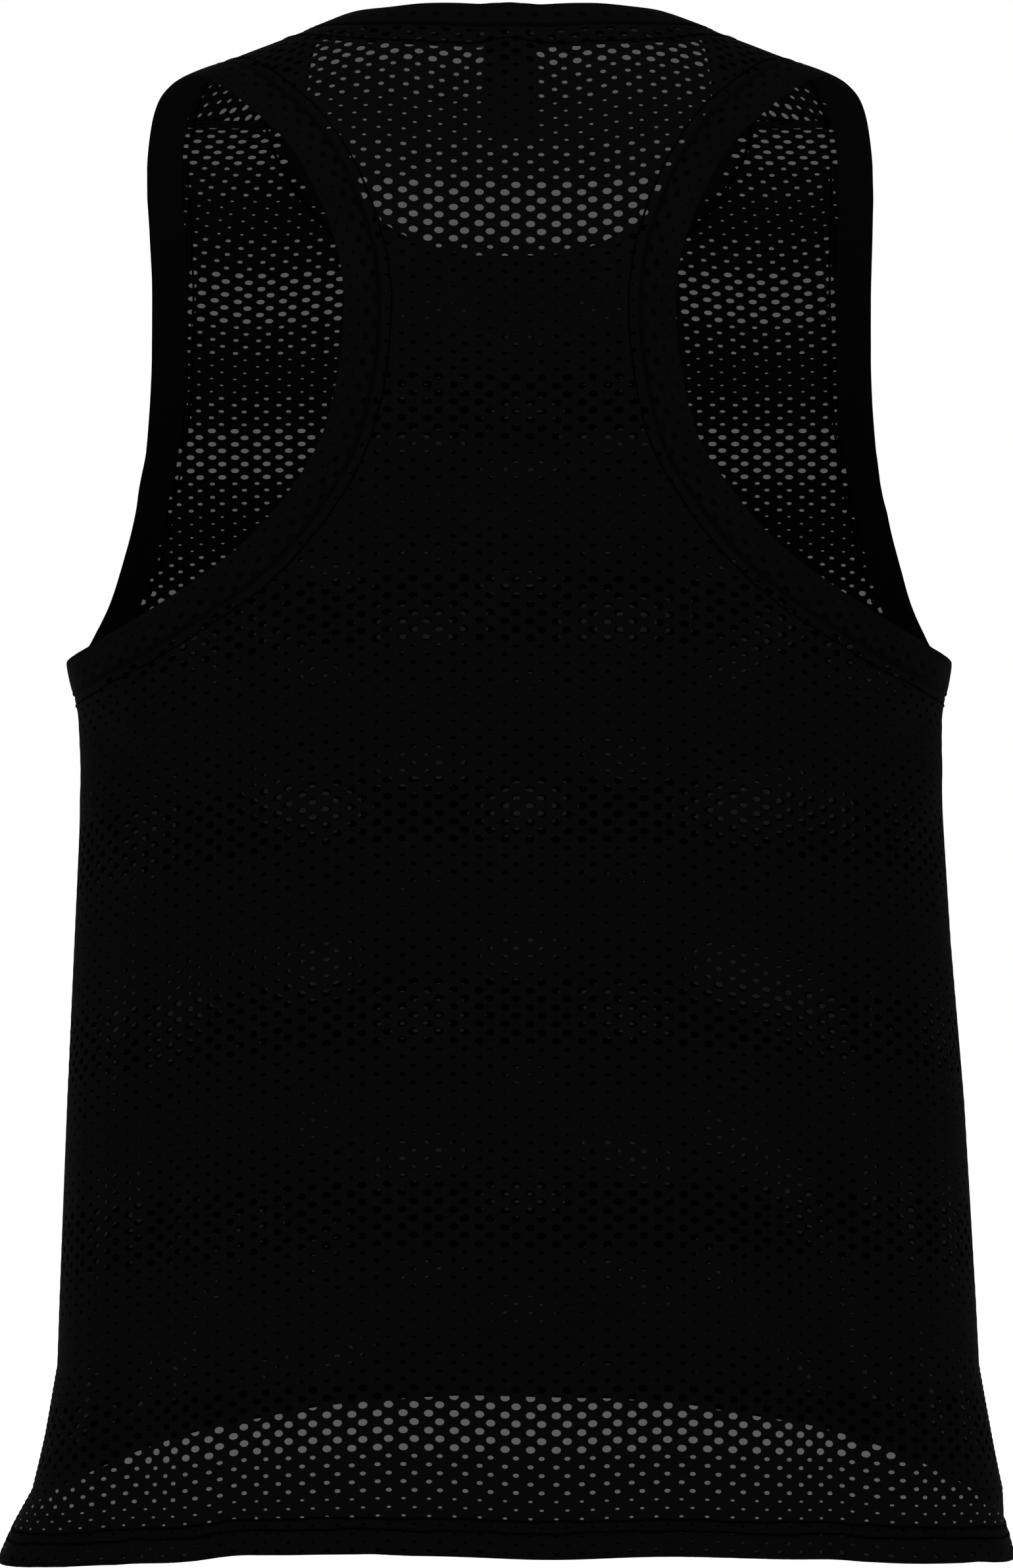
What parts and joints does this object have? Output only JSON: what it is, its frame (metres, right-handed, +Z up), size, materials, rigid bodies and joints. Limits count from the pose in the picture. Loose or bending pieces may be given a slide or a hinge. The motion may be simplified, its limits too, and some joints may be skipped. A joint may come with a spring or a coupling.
{
  "type": "running singlet",
  "caption": "Racerback running singlet in perforated knit, hollow as worn, with folded bands round the neck and armholes, slit sides and a back hem longer than the front.",
  "frame": {"origin": "in the middle of the body, on the line of the shoulders, at the height of the neck end of each shoulder", "axes": "+Z up along the body, +X to the wearer's left, -Y out of the garment's front and +Y out of its back"},
  "size_m": [0.4382, 0.2284, 0.6671],
  "materials": {
    "perforated_knit": "matte knit with eyelets",
    "folded_knit": "matte folded knit",
    "label_tape": "plain tape"
  },
  "bodies": {
    "root": {"back_panel": "perforated_knit", "front_panel": "perforated_knit", "neck_band": "folded_knit", "armhole_band_left": "folded_knit", "armhole_band_right": "folded_knit", "neck_label": "label_tape"}
  },
  "joints": []
}
